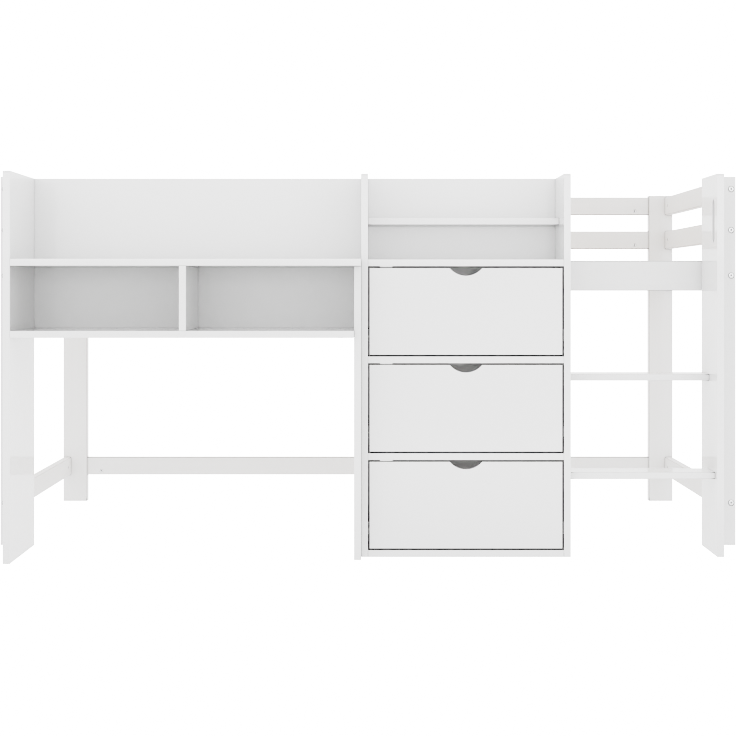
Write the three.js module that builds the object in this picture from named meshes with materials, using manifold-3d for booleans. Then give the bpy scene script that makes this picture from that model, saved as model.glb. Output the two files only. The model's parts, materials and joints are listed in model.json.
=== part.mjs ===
// Low loft bed with a desk unit, a three-drawer cabinet and a two-step ladder bay along its front.
// Millimetres. X runs along the bed, Y from the front (negative) to the rear, Z up from the floor.
// The origin is the centre of the bounding box on the floor.

import * as THREE from 'three';
import * as BufferGeometryUtils from 'three/addons/utils/BufferGeometryUtils.js';
import Module from 'manifold-3d';

const wasm = await Module();
wasm.setup();

// ---------------------------------------------------------------- driving dimensions

const BED_LENGTH = 2007;            // over the end posts
const BED_DEPTH = 1060;             // front face of the front posts to rear face of the rear posts
const DESK_DEPTH = 340;             // how far the desk unit stands in front of the bed
const CABINET_DEPTH = 220;          // how far the cabinet and the ladder board stand in front

const POST_HEIGHT = 1005;
const POST_WIDTH = 78;
const POST_THICKNESS = 36;

const EDGE_ROUND = 3;               // radius along the long edges of the posts, rails, slats and steps

const RAIL_THICKNESS = 24;
const END_RAIL_THICKNESS = 25;
const GUARD_RAIL_HEIGHT = 58;
const SIDE_RAIL_HEIGHT = 82;
const UPPER_GUARD_RAIL_Z = 942;     // undersides of the rails
const LOWER_GUARD_RAIL_Z = 830;
const SIDE_RAIL_Z = 694;
const LOW_RAIL_Z = 86;

const LEDGER_SECTION = 24;
const LEDGER_Z = 700;
const SLAT_WIDTH = 70;
const SLAT_THICKNESS = 18;
const SLATS_PER_ROLL = 7;
const SLAT_PITCH = 136;
const SLAT_END_CLEARANCE = 2;
const WEBBING_WIDTH = 25;
const WEBBING_THICKNESS = 1;
const WEBBING_OFFSET = 300;         // each side of the middle of a slat

const BOLT_HEAD_DIAMETER = 17;       // counterbores that seat the connector bolts' heads
const FRONT_COUNTERBORE_DEPTH = 1.5;
const COUNTERBORE_DEPTH = 3;
const BARREL_NUT_DIAMETER = 10;     // cross holes for the nuts that the bolts pull on
const BARREL_NUT_HOLE_DEPTH = 17;
const BARREL_NUT_FROM_END = 46;
const EDGE_BOLT_OFFSET = 13;        // bolt axis to the rail's nearer edge, where it is off centre

const BOARD = 18;                   // thickness of the panel boards
const BACK_PANEL = 12;
const BOARD_HEIGHT = 1000;
const BOARD_CORNER_RADIUS = 6;
const SIDE_BOARD_OUTER_X = 928.75;  // outer faces of the desk's left side and of the ladder board

const DESK_TOP_Z = 776;             // upper face of the desk top and of the cabinet top
const CUBBY_FLOOR_Z = 592.5;        // upper face of the board under the cubbies
const DESK_UPRIGHT_DEPTH = 272.5;
const CUBBY_DIVIDER_X = -472;       // middle of the divider between the two cubbies

const CABINET_LEFT_X = -18;         // outer face of the cabinet's left side
const CABINET_WIDTH = 547;
const DRAWER_PITCH = 252.5;         // from one drawer's floor board to the next
const SMALL_SHELF_Z = 871;
const SMALL_SHELF_DEPTH = 100;

const DRAWER_GAP = 4;               // around each inset drawer front
const DRAWER_FRONT_HEIGHT = 226.5;
const DRAWER_BOX_BOARD = 12;
const DRAWER_BOX_HEIGHT = 160;
const DRAWER_BOX_LIFT = 16;         // underside of the drawer box above its floor board
const DRAWER_BOTTOM = 6;
const DRAWER_BOTTOM_LIFT = 8;       // drawer bottom above the lower edges of the box sides
const DRAWER_REAR_CLEARANCE = 12;
const FINGER_NOTCH_CHORD = 84;
const FINGER_NOTCH_DEPTH = 20;

const RUNNER_THICKNESS = 12;
const RUNNER_CLEARANCE = 0.75;      // between a runner and the drawer side beside it
const RUNNER_HEIGHT = 30;
const RUNNER_LENGTH = 185;
const RUNNER_LIFT = 40;             // above the drawer's floor board

const STEP_DEPTH = 108.75;
const UPPER_STEP_Z = 472;           // upper faces of the steps
const LOWER_STEP_Z = 218;
const LOWER_STEP_SETBACK = 82.75;   // rear edge of the lower step in front of the bed
const GRIP_HEIGHT = 114;            // hand-hold slot in the ladder board
const GRIP_WIDTH = 32;
const GRIP_MIDDLE_Z = 878;
const GRIP_SETBACK = 53;            // middle of the slot behind the board's front edge

const ARC_SEGMENTS = 16;
const EDGE_ROUND_SEGMENTS = 4;
const HOLE_SEGMENTS = 20;

// ---------------------------------------------------------------- places worked out from them

const END_X = BED_LENGTH / 2;
const POST_INNER_X = END_X - POST_WIDTH;
const FRONT_Y = -(BED_DEPTH + DESK_DEPTH) / 2;
const BED_FRONT_Y = FRONT_Y + DESK_DEPTH;
const BED_REAR_Y = BED_FRONT_Y + BED_DEPTH;
const FRONT_POST_REAR_Y = BED_FRONT_Y + POST_THICKNESS;
const REAR_POST_FRONT_Y = BED_REAR_Y - POST_THICKNESS;
const PANEL_REAR_Y = BED_FRONT_Y + BACK_PANEL;
const FRONT_RAIL_REAR_Y = PANEL_REAR_Y + RAIL_THICKNESS;
const REAR_RAIL_REAR_Y = BED_REAR_Y - (POST_THICKNESS - RAIL_THICKNESS) / 2;
const REAR_RAIL_FRONT_Y = REAR_RAIL_REAR_Y - RAIL_THICKNESS;
const SLAT_Z = LEDGER_Z + LEDGER_SECTION;
const SLAT_FIELD_LENGTH = SLAT_PITCH * (2 * SLATS_PER_ROLL - 1) + SLAT_WIDTH;
const CABINET_FRONT_Y = BED_FRONT_Y - CABINET_DEPTH;
const CABINET_RIGHT_X = CABINET_LEFT_X + CABINET_WIDTH;
const CABINET_INNER_X = [CABINET_LEFT_X + BOARD, CABINET_RIGHT_X - BOARD];
const DESK_INNER_LEFT_X = BOARD - SIDE_BOARD_OUTER_X;
const LADDER_BOARD_INNER_X = SIDE_BOARD_OUTER_X - BOARD;
const DESK_UPRIGHT_LEFT_X = CABINET_LEFT_X - BOARD;

// ---------------------------------------------------------------- materials

function finish(name, color, roughness, metalness = 0) {
  return new THREE.MeshStandardMaterial({ name, color, roughness, metalness });
}

const whitePine = () => finish('white painted pine', 0xe6e6e4, 0.45);
const whiteBoard = () => finish('white painted board', 0xe9e9e8, 0.4);
const barePine = () => finish('bare pine slats and webbing', 0xd9b98a, 0.7);
const drawerBase = () => finish('white faced fibreboard', 0xdedddb, 0.55);
const runnerSteel = () => finish('coated steel runner', 0xd0d2d4, 0.35, 0.6);

// ---------------------------------------------------------------- shape makers

const UNIT = {
  x: new THREE.Vector3(1, 0, 0),
  y: new THREE.Vector3(0, 1, 0),
  z: new THREE.Vector3(0, 0, 1),
};

const bed = new THREE.Group();
bed.name = 'low_loft_bed';

// A rectangular piece between two limits on each axis.
function box(name, material, x, y, z) {
  const geometry = new THREE.BoxGeometry(x[1] - x[0], y[1] - y[0], z[1] - z[0]);
  const mesh = new THREE.Mesh(geometry, material);
  mesh.name = name;
  mesh.position.set((x[0] + x[1]) / 2, (y[0] + y[1]) / 2, (z[0] + z[1]) / 2);
  bed.add(mesh);
}

// A rectangle with rounded corners between two limits on each of its axes.
function roundedRectangle(u, v, r) {
  const outline = new THREE.Shape();
  outline.moveTo(u[0] + r, v[0]);
  outline.lineTo(u[1] - r, v[0]);
  outline.absarc(u[1] - r, v[0] + r, r, -Math.PI / 2, 0, false);
  outline.lineTo(u[1], v[1] - r);
  outline.absarc(u[1] - r, v[1] - r, r, 0, Math.PI / 2, false);
  outline.lineTo(u[0] + r, v[1]);
  outline.absarc(u[0] + r, v[1] - r, r, Math.PI / 2, Math.PI, false);
  outline.lineTo(u[0], v[0] + r);
  outline.absarc(u[0] + r, v[0] + r, r, Math.PI, 3 * Math.PI / 2, false);
  return outline;
}

// A straight bar between two limits on each axis, its edges along one axis rounded.
function barGeometry(limits, along) {
  const [u, v] = { x: ['y', 'z'], y: ['z', 'x'], z: ['x', 'y'] }[along];
  const [start, end] = limits[along];
  const section = roundedRectangle(limits[u], limits[v], EDGE_ROUND);
  const settings = { depth: end - start, bevelEnabled: false, curveSegments: EDGE_ROUND_SEGMENTS };
  const geometry = new THREE.ExtrudeGeometry(section, settings);
  geometry.applyMatrix4(new THREE.Matrix4().makeBasis(UNIT[u], UNIT[v], UNIT[along]));
  geometry.translate(...UNIT[along].clone().multiplyScalar(start).toArray());
  return geometry;
}

// A round hole: centre of its mouth, unit vector into the material, radius and depth.
function hole(mouth, inward, radius, depth) {
  return { mouth: new THREE.Vector3(...mouth), inward: new THREE.Vector3(...inward), radius, depth };
}

// A rounded bar with round blind holes in its faces.
function bar(name, material, limits, along, holes = []) {
  let solid = solidFrom(barGeometry(limits, along));
  for (const { mouth, inward, radius, depth } of holes) {
    const drill = new THREE.CylinderGeometry(radius, radius, 2 * depth, HOLE_SEGMENTS);
    const turn = new THREE.Quaternion().setFromUnitVectors(UNIT.y, inward);
    drill.applyQuaternion(turn);
    drill.translate(mouth.x, mouth.y, mouth.z);
    solid = solid.subtract(solidFrom(drill));
  }
  const mesh = new THREE.Mesh(geometryFrom(solid), material);
  mesh.name = name;
  bed.add(mesh);
}

// An outline drawn in Y and Z, thickened along +X from x.
function extrudeAlongX(name, material, outline, x, thickness) {
  const settings = { depth: thickness, bevelEnabled: false, curveSegments: ARC_SEGMENTS };
  const geometry = new THREE.ExtrudeGeometry(outline, settings);
  geometry.applyMatrix4(new THREE.Matrix4().makeBasis(UNIT.y, UNIT.z, UNIT.x));
  const mesh = new THREE.Mesh(geometry, material);
  mesh.name = name;
  mesh.position.x = x;
  bed.add(mesh);
}

// An outline drawn in X and Z, thickened towards the front (-Y) from y.
function extrudeForward(name, material, outline, y, thickness) {
  const settings = { depth: thickness, bevelEnabled: false, curveSegments: ARC_SEGMENTS };
  const geometry = new THREE.ExtrudeGeometry(outline, settings);
  const forward = UNIT.y.clone().negate();
  geometry.applyMatrix4(new THREE.Matrix4().makeBasis(UNIT.x, UNIT.z, forward));
  const mesh = new THREE.Mesh(geometry, material);
  mesh.name = name;
  mesh.position.y = y;
  bed.add(mesh);
}

// A closed three.js geometry as a solid that can be joined to another.
function solidFrom(geometry) {
  const plain = geometry.clone();
  plain.deleteAttribute('normal');
  plain.deleteAttribute('uv');
  const merged = BufferGeometryUtils.mergeVertices(plain);
  const vertProperties = new Float32Array(merged.attributes.position.array);
  const triVerts = new Uint32Array(merged.index.array);
  return new wasm.Manifold(new wasm.Mesh({ numProp: 3, vertProperties, triVerts }));
}

function geometryFrom(solid) {
  const { vertProperties, triVerts } = solid.getMesh();
  const geometry = new THREE.BufferGeometry();
  geometry.setAttribute('position', new THREE.BufferAttribute(new Float32Array(vertProperties), 3));
  geometry.setIndex(new THREE.BufferAttribute(new Uint32Array(triVerts), 1));
  geometry.computeVertexNormals();
  return geometry;
}

// ---------------------------------------------------------------- bed frame

const SIDES = [['left', -1], ['right', 1]];

// The level and height of each rail that meets the posts at the ends of the bed.
const END_RAILS = [
  ['upper_guard_rail', UPPER_GUARD_RAIL_Z, GUARD_RAIL_HEIGHT],
  ['lower_guard_rail', LOWER_GUARD_RAIL_Z, GUARD_RAIL_HEIGHT],
  ['platform_rail', SIDE_RAIL_Z, SIDE_RAIL_HEIGHT],
  ['low_rail', LOW_RAIL_Z, GUARD_RAIL_HEIGHT],
];

// A side rail has a bolt near each edge; the lighter long rails have one near the lower edge.
const SIDE_RAIL_TOP_Z = SIDE_RAIL_Z + SIDE_RAIL_HEIGHT;
const SIDE_RAIL_BOLT_Z = [SIDE_RAIL_Z + EDGE_BOLT_OFFSET, SIDE_RAIL_TOP_Z - EDGE_BOLT_OFFSET];
const LIGHT_RAILS = [
  ['rear_upper_guard_rail', UPPER_GUARD_RAIL_Z],
  ['rear_lower_guard_rail', LOWER_GUARD_RAIL_Z],
  ['rear_low_rail', LOW_RAIL_Z],
];

// Limits between two distances from the bed's middle, on the left or the right.
function mirrored(sign, inner, outer) {
  return sign > 0 ? [inner, outer] : [-outer, -inner];
}

// Counterbores in a post: one per end rail in the broad face, one per long-rail bolt in the outer edge.
function postCounterbores(sign, faceY, inwardY, faceDepth, edgeY, edgeZ) {
  const radius = BOLT_HEAD_DIAMETER / 2;
  const faceX = sign * (END_X - END_RAIL_THICKNESS / 2);
  const face = END_RAILS.map(([, z, height]) => (
    hole([faceX, faceY, z + height / 2], [0, inwardY, 0], radius, faceDepth)));
  const edge = edgeZ.map((z) => (
    hole([sign * END_X, edgeY, z], [-sign, 0, 0], radius, COUNTERBORE_DEPTH)));
  return [...face, ...edge];
}

function posts() {
  const z = [0, POST_HEIGHT];
  const frontRailY = (PANEL_REAR_Y + FRONT_RAIL_REAR_Y) / 2;
  const rearRailY = (REAR_RAIL_FRONT_Y + REAR_RAIL_REAR_Y) / 2;
  const rearBoltZ = [...SIDE_RAIL_BOLT_Z, ...LIGHT_RAILS.map(([, railZ]) => railZ + EDGE_BOLT_OFFSET)];
  for (const [side, sign] of SIDES) {
    const x = mirrored(sign, POST_INNER_X, END_X);
    bar(`front_${side}_post`, whitePine(), { x, y: [BED_FRONT_Y, FRONT_POST_REAR_Y], z }, 'z',
      postCounterbores(sign, BED_FRONT_Y, 1, FRONT_COUNTERBORE_DEPTH, frontRailY, SIDE_RAIL_BOLT_Z));
    bar(`rear_${side}_post`, whitePine(), { x, y: [REAR_POST_FRONT_Y, BED_REAR_Y], z }, 'z',
      postCounterbores(sign, BED_REAR_Y, -1, COUNTERBORE_DEPTH, rearRailY, rearBoltZ));
  }
}

// A rail between the posts on the front or rear side, its nut holes in the face towards the mattress.
function longRail(name, y, z, nutFaceY, inwardY, boltZ) {
  const x = [-POST_INNER_X, POST_INNER_X];
  const holes = [];
  for (const [, sign] of SIDES) {
    for (const level of boltZ) {
      const mouth = [sign * (POST_INNER_X - BARREL_NUT_FROM_END), nutFaceY, level];
      holes.push(hole(mouth, [0, inwardY, 0], BARREL_NUT_DIAMETER / 2, BARREL_NUT_HOLE_DEPTH));
    }
  }
  bar(name, whitePine(), { x, y, z }, 'x', holes);
}

function longRails() {
  const rearY = [REAR_RAIL_FRONT_Y, REAR_RAIL_REAR_Y];
  const frontY = [PANEL_REAR_Y, FRONT_RAIL_REAR_Y];
  const sideZ = [SIDE_RAIL_Z, SIDE_RAIL_TOP_Z];
  longRail('front_side_rail', frontY, sideZ, FRONT_RAIL_REAR_Y, -1, SIDE_RAIL_BOLT_Z);
  longRail('rear_side_rail', rearY, sideZ, REAR_RAIL_FRONT_Y, 1, SIDE_RAIL_BOLT_Z);
  for (const [name, z] of LIGHT_RAILS) {
    longRail(name, rearY, [z, z + GUARD_RAIL_HEIGHT], REAR_RAIL_FRONT_Y, 1, [z + EDGE_BOLT_OFFSET]);
  }
}

function endRails() {
  const y = [FRONT_POST_REAR_Y, REAR_POST_FRONT_Y];
  const innerX = END_X - END_RAIL_THICKNESS;
  for (const [side, sign] of SIDES) {
    const x = mirrored(sign, innerX, END_X);
    for (const [level, z, height] of END_RAILS) {
      const holes = [y[0] + BARREL_NUT_FROM_END, y[1] - BARREL_NUT_FROM_END].map((nutY) => (
        hole([sign * innerX, nutY, z + height / 2], [sign, 0, 0], BARREL_NUT_DIAMETER / 2,
          BARREL_NUT_HOLE_DEPTH)));
      bar(`${side}_end_${level}`, whitePine(), { x, y, z: [z, z + height] }, 'y', holes);
    }
  }
}

function slatLedgers() {
  const x = [-SLAT_FIELD_LENGTH / 2, SLAT_FIELD_LENGTH / 2];
  const z = [LEDGER_Z, SLAT_Z];
  box('front_slat_ledger', whitePine(), x, [FRONT_RAIL_REAR_Y, FRONT_RAIL_REAR_Y + LEDGER_SECTION], z);
  box('rear_slat_ledger', whitePine(), x, [REAR_RAIL_FRONT_Y - LEDGER_SECTION, REAR_RAIL_FRONT_Y], z);
}

// Each roll is a row of slats stapled to two webbing straps that lie across their upper faces.
function slatRolls() {
  const frontEnd = FRONT_RAIL_REAR_Y + SLAT_END_CLEARANCE;
  const rearEnd = REAR_RAIL_FRONT_Y - SLAT_END_CLEARANCE;
  const middleY = (frontEnd + rearEnd) / 2;
  const z = [SLAT_Z, SLAT_Z + SLAT_THICKNESS];
  const strapLength = SLAT_PITCH * (SLATS_PER_ROLL - 1) + SLAT_WIDTH / 2;
  const strapShape = new THREE.BoxGeometry(strapLength, WEBBING_WIDTH, 2 * WEBBING_THICKNESS);
  for (const [side, sign] of SIDES) {
    const innerX = SLAT_PITCH / 2;
    const middleX = sign * (innerX + SLAT_PITCH * (SLATS_PER_ROLL - 1) / 2);
    let roll = null;
    for (let i = 0; i < SLATS_PER_ROLL; i++) {
      const slatX = sign * (innerX + i * SLAT_PITCH);
      const x = [slatX - SLAT_WIDTH / 2, slatX + SLAT_WIDTH / 2];
      const slat = solidFrom(barGeometry({ x, y: [frontEnd, rearEnd], z }, 'y'));
      roll = roll ? roll.add(slat) : slat;
    }
    for (const offset of [-WEBBING_OFFSET, WEBBING_OFFSET]) {
      const strap = solidFrom(strapShape).translate([middleX, middleY + offset, z[1]]);
      roll = roll.add(strap);
    }
    const mesh = new THREE.Mesh(geometryFrom(roll), barePine());
    mesh.name = `${side}_slat_roll`;
    bed.add(mesh);
  }
}

// ---------------------------------------------------------------- desk unit

// Side view of an upright board: square to the floor, its two upper corners rounded.
function sideBoardOutline(depth) {
  const r = BOARD_CORNER_RADIUS;
  const front = BED_FRONT_Y - depth;
  const rear = BED_FRONT_Y;
  const outline = new THREE.Shape();
  outline.moveTo(front, 0);
  outline.lineTo(rear, 0);
  outline.lineTo(rear, BOARD_HEIGHT);
  outline.lineTo(front + r, BOARD_HEIGHT);
  outline.absarc(front + r, BOARD_HEIGHT - r, r, Math.PI / 2, Math.PI, false);
  outline.lineTo(front, 0);
  return outline;
}

function deskUnit() {
  const depth = [FRONT_Y, BED_FRONT_Y];
  const outline = sideBoardOutline(DESK_DEPTH);
  extrudeAlongX('desk_left_side', whiteBoard(), outline, -SIDE_BOARD_OUTER_X, BOARD);
  box('desk_top', whiteBoard(), [DESK_INNER_LEFT_X, CABINET_LEFT_X], depth,
    [DESK_TOP_Z - BOARD, DESK_TOP_Z]);
  box('desk_cubby_floor', whiteBoard(), [DESK_INNER_LEFT_X, DESK_UPRIGHT_LEFT_X], depth,
    [CUBBY_FLOOR_Z - BOARD, CUBBY_FLOOR_Z]);
  const dividerX = [CUBBY_DIVIDER_X - BOARD / 2, CUBBY_DIVIDER_X + BOARD / 2];
  box('desk_cubby_divider', whiteBoard(), dividerX, depth, [CUBBY_FLOOR_Z, DESK_TOP_Z - BOARD]);
  box('desk_right_upright', whiteBoard(), [DESK_UPRIGHT_LEFT_X, CABINET_LEFT_X],
    [BED_FRONT_Y - DESK_UPRIGHT_DEPTH, BED_FRONT_Y], [0, DESK_TOP_Z - BOARD]);
  box('desk_back_panel', whiteBoard(), [-POST_INNER_X, CABINET_LEFT_X], [BED_FRONT_Y, PANEL_REAR_Y],
    [CUBBY_FLOOR_Z - BOARD, BOARD_HEIGHT]);
}

// ---------------------------------------------------------------- cabinet

// Lower faces of the boards that carry the drawers, from the bottom up.
const DRAWER_FLOORS = [0, DRAWER_PITCH, 2 * DRAWER_PITCH];

function cabinet() {
  const depth = [CABINET_FRONT_Y, BED_FRONT_Y];
  const outline = sideBoardOutline(CABINET_DEPTH);
  extrudeAlongX('cabinet_left_side', whiteBoard(), outline, CABINET_LEFT_X, BOARD);
  extrudeAlongX('cabinet_right_side', whiteBoard(), outline, CABINET_INNER_X[1], BOARD);
  box('cabinet_top_board', whiteBoard(), CABINET_INNER_X, depth, [DESK_TOP_Z - BOARD, DESK_TOP_Z]);
  ['cabinet_bottom_board', 'cabinet_lower_divider', 'cabinet_upper_divider'].forEach((name, i) => {
    box(name, whiteBoard(), CABINET_INNER_X, depth, [DRAWER_FLOORS[i], DRAWER_FLOORS[i] + BOARD]);
  });
  box('cabinet_small_shelf', whiteBoard(), CABINET_INNER_X,
    [BED_FRONT_Y - SMALL_SHELF_DEPTH, BED_FRONT_Y], [SMALL_SHELF_Z, SMALL_SHELF_Z + BOARD]);
  box('cabinet_back_panel', whiteBoard(), [CABINET_LEFT_X, CABINET_RIGHT_X], [BED_FRONT_Y, PANEL_REAR_Y],
    [0, BOARD_HEIGHT]);
}

// Front view of a drawer front: a rectangle with a round finger notch in its upper edge.
function drawerFrontOutline(x, z) {
  const middle = (x[0] + x[1]) / 2;
  const half = FINGER_NOTCH_CHORD / 2;
  const radius = (half * half + FINGER_NOTCH_DEPTH * FINGER_NOTCH_DEPTH) / (2 * FINGER_NOTCH_DEPTH);
  const centreZ = z[1] - FINGER_NOTCH_DEPTH + radius;
  const spread = Math.asin(half / radius);
  const outline = new THREE.Shape();
  outline.moveTo(x[0], z[0]);
  outline.lineTo(x[1], z[0]);
  outline.lineTo(x[1], z[1]);
  outline.lineTo(middle + half, z[1]);
  outline.absarc(middle, centreZ, radius, -Math.PI / 2 + spread, -Math.PI / 2 - spread, true);
  outline.lineTo(x[0], z[1]);
  outline.lineTo(x[0], z[0]);
  return outline;
}

function drawer(name, floorZ) {
  const [innerLeft, innerRight] = CABINET_INNER_X;
  const openingZ = floorZ + BOARD;
  const frontX = [innerLeft + DRAWER_GAP, innerRight - DRAWER_GAP];
  const frontZ = [openingZ + DRAWER_GAP, openingZ + DRAWER_GAP + DRAWER_FRONT_HEIGHT];
  const frontRearY = CABINET_FRONT_Y + BOARD;
  const board = DRAWER_BOX_BOARD;
  const boxX = [
    innerLeft + RUNNER_THICKNESS + RUNNER_CLEARANCE,
    innerRight - RUNNER_THICKNESS - RUNNER_CLEARANCE];
  const boxY = [frontRearY, BED_FRONT_Y - DRAWER_REAR_CLEARANCE];
  const boxZ = [openingZ + DRAWER_BOX_LIFT, openingZ + DRAWER_BOX_LIFT + DRAWER_BOX_HEIGHT];
  const betweenX = [boxX[0] + board, boxX[1] - board];
  const bottomZ = [boxZ[0] + DRAWER_BOTTOM_LIFT, boxZ[0] + DRAWER_BOTTOM_LIFT + DRAWER_BOTTOM];
  const front = drawerFrontOutline(frontX, frontZ);
  extrudeForward(`${name}_front`, whiteBoard(), front, frontRearY, BOARD);
  box(`${name}_left_side`, whiteBoard(), [boxX[0], betweenX[0]], boxY, boxZ);
  box(`${name}_right_side`, whiteBoard(), [betweenX[1], boxX[1]], boxY, boxZ);
  box(`${name}_back`, whiteBoard(), betweenX, [boxY[1] - board, boxY[1]], boxZ);
  box(`${name}_bottom`, drawerBase(), betweenX, [boxY[0], boxY[1] - board], bottomZ);
}

function drawerRunners(name, floorZ) {
  const [innerLeft, innerRight] = CABINET_INNER_X;
  const y = [CABINET_FRONT_Y + BOARD, CABINET_FRONT_Y + BOARD + RUNNER_LENGTH];
  const z = [floorZ + BOARD + RUNNER_LIFT, floorZ + BOARD + RUNNER_LIFT + RUNNER_HEIGHT];
  box(`${name}_left_runner`, runnerSteel(), [innerLeft, innerLeft + RUNNER_THICKNESS], y, z);
  box(`${name}_right_runner`, runnerSteel(), [innerRight - RUNNER_THICKNESS, innerRight], y, z);
}

// ---------------------------------------------------------------- ladder bay

// The ladder board's outline with its hand-hold slot, a tall hole with round ends.
function ladderBoardOutline() {
  const outline = sideBoardOutline(CABINET_DEPTH);
  const middleY = CABINET_FRONT_Y + GRIP_SETBACK;
  const r = GRIP_WIDTH / 2;
  const upper = GRIP_MIDDLE_Z + GRIP_HEIGHT / 2 - r;
  const lower = GRIP_MIDDLE_Z - GRIP_HEIGHT / 2 + r;
  const slot = new THREE.Path();
  slot.moveTo(middleY + r, lower);
  slot.lineTo(middleY + r, upper);
  slot.absarc(middleY, upper, r, 0, Math.PI, false);
  slot.lineTo(middleY - r, lower);
  slot.absarc(middleY, lower, r, Math.PI, 2 * Math.PI, false);
  outline.holes.push(slot);
  return outline;
}

function ladderBay() {
  extrudeAlongX('ladder_side_board', whiteBoard(), ladderBoardOutline(), LADDER_BOARD_INNER_X, BOARD);
  const x = [CABINET_RIGHT_X, LADDER_BOARD_INNER_X];
  const steps = [
    ['upper_step', BED_FRONT_Y, UPPER_STEP_Z],
    ['lower_step', BED_FRONT_Y - LOWER_STEP_SETBACK, LOWER_STEP_Z],
  ];
  for (const [name, rearY, topZ] of steps) {
    bar(name, whiteBoard(), { x, y: [rearY - STEP_DEPTH, rearY], z: [topZ - BOARD, topZ] }, 'x');
  }
}

// ---------------------------------------------------------------- assembly

posts();
longRails();
endRails();
slatLedgers();
slatRolls();
deskUnit();
cabinet();
['bottom_drawer', 'middle_drawer', 'top_drawer'].forEach((name, i) => {
  drawer(name, DRAWER_FLOORS[i]);
  drawerRunners(name, DRAWER_FLOORS[i]);
});
ladderBay();

export default bed;
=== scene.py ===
import json
import math

import bmesh
import bpy
from mathutils import Matrix, Vector


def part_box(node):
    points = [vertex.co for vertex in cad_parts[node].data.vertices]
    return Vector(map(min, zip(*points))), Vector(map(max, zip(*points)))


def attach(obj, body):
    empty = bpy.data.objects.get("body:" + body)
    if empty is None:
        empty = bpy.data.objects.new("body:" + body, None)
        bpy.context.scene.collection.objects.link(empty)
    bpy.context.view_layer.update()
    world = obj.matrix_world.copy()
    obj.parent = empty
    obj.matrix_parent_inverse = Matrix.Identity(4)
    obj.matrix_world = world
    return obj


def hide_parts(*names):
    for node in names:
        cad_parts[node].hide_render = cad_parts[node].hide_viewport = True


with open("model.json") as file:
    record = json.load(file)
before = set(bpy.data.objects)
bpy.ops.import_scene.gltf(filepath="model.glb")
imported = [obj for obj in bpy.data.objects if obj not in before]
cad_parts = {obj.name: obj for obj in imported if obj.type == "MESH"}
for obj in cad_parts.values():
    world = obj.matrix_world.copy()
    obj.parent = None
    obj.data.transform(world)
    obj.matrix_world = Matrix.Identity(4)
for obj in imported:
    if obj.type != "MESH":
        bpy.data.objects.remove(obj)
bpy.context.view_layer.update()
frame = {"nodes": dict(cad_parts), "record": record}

MM = 0.001

# ---- places read from the frame

AXES = {"x": 0, "y": 1, "z": 2}
FRONT, REAR = Vector((0, -1, 0)), Vector((0, 1, 0))
LEFT = Vector((-1, 0, 0))
UP, DOWN = Vector((0, 0, 1)), Vector((0, 0, -1))
DRAWERS = ("bottom_drawer", "middle_drawer", "top_drawer")
ENDS = {"left": -1, "right": 1}
END_RAIL_LEVELS = ("upper_guard_rail", "lower_guard_rail", "platform_rail", "low_rail")
LIGHT_LONG_RAILS = ("rear_upper_guard_rail", "rear_lower_guard_rail", "rear_low_rail")
FIXED = "bed_frame"


def limits(node, axis):
    """Lowest and highest coordinate of a CAD node along one axis."""
    low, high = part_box(node)
    return low[AXES[axis]], high[AXES[axis]]


def middle(node, axis):
    low, high = limits(node, axis)
    return (low + high) / 2


POST_FRONT_Y = limits("front_right_post", "y")[0]
CEILINGS = {                    # the board above each drawer
    "bottom_drawer": "cabinet_lower_divider",
    "middle_drawer": "cabinet_upper_divider",
    "top_drawer": "cabinet_top_board",
}
HAND_SLOT_WIDTH = 33 * MM
HAND_SLOT_HEIGHT = 115 * MM
HAND_SLOT_FROM_FRONT = 53 * MM
HAND_SLOT_FROM_TOP = 122 * MM
FACE_SKIN = 1 * MM              # how far the slot's zone stays inside the board's faces
CUBBY_SETBACK = 3 * MM          # how far behind the front edges the other two zones begin
CABINET_SETBACK = 4 * MM
SPARE = Vector((0.5, 0.5, 0.5)) * MM    # so that a zone holds the faces it ends at


def hand_slot():
    """The lowest and highest corner of the slot in the ladder's side board."""
    left, right = limits("ladder_side_board", "x")
    y = limits("ladder_side_board", "y")[0] + HAND_SLOT_FROM_FRONT
    z = limits("ladder_side_board", "z")[1] - HAND_SLOT_FROM_TOP
    half_width, half_height = HAND_SLOT_WIDTH / 2, HAND_SLOT_HEIGHT / 2
    return (Vector((left + FACE_SKIN, y - half_width, z - half_height)),
            Vector((right - FACE_SKIN, y + half_width, z + half_height)))


def cubbies():
    """The lowest and highest corner of the space in the two cubbies, behind their front edges."""
    low = Vector((limits("desk_left_side", "x")[1], limits("desk_cubby_floor", "y")[0] + CUBBY_SETBACK,
                  limits("desk_cubby_floor", "z")[1]))
    high = Vector((limits("desk_right_upright", "x")[0], limits("desk_cubby_floor", "y")[1],
                   limits("desk_top", "z")[0]))
    return low - SPARE, high + SPARE


def cabinet_inside():
    """The lowest and highest corner of the space the drawers stand in, behind their fronts' faces."""
    low = Vector((limits("cabinet_left_side", "x")[1],
                  limits("top_drawer_front", "y")[0] + CABINET_SETBACK,
                  limits("cabinet_bottom_board", "z")[1]))
    high = Vector((limits("cabinet_right_side", "x")[0], limits("cabinet_back_panel", "y")[0],
                   limits("cabinet_top_board", "z")[0]))
    return low - SPARE, high + SPARE


HAND_SLOT = hand_slot()
CUBBIES = cubbies()
CABINET_INSIDE = cabinet_inside()


# ---- camera

FOCAL_LENGTH = 88.6
SENSOR = 36.0
CAMERA_DISTANCE = 4.9435        # in front of the posts' front faces
CAMERA_HEIGHT = 0.7014
HORIZON_SHIFT = -80 / 736       # the horizon lies above the middle of the picture


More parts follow.
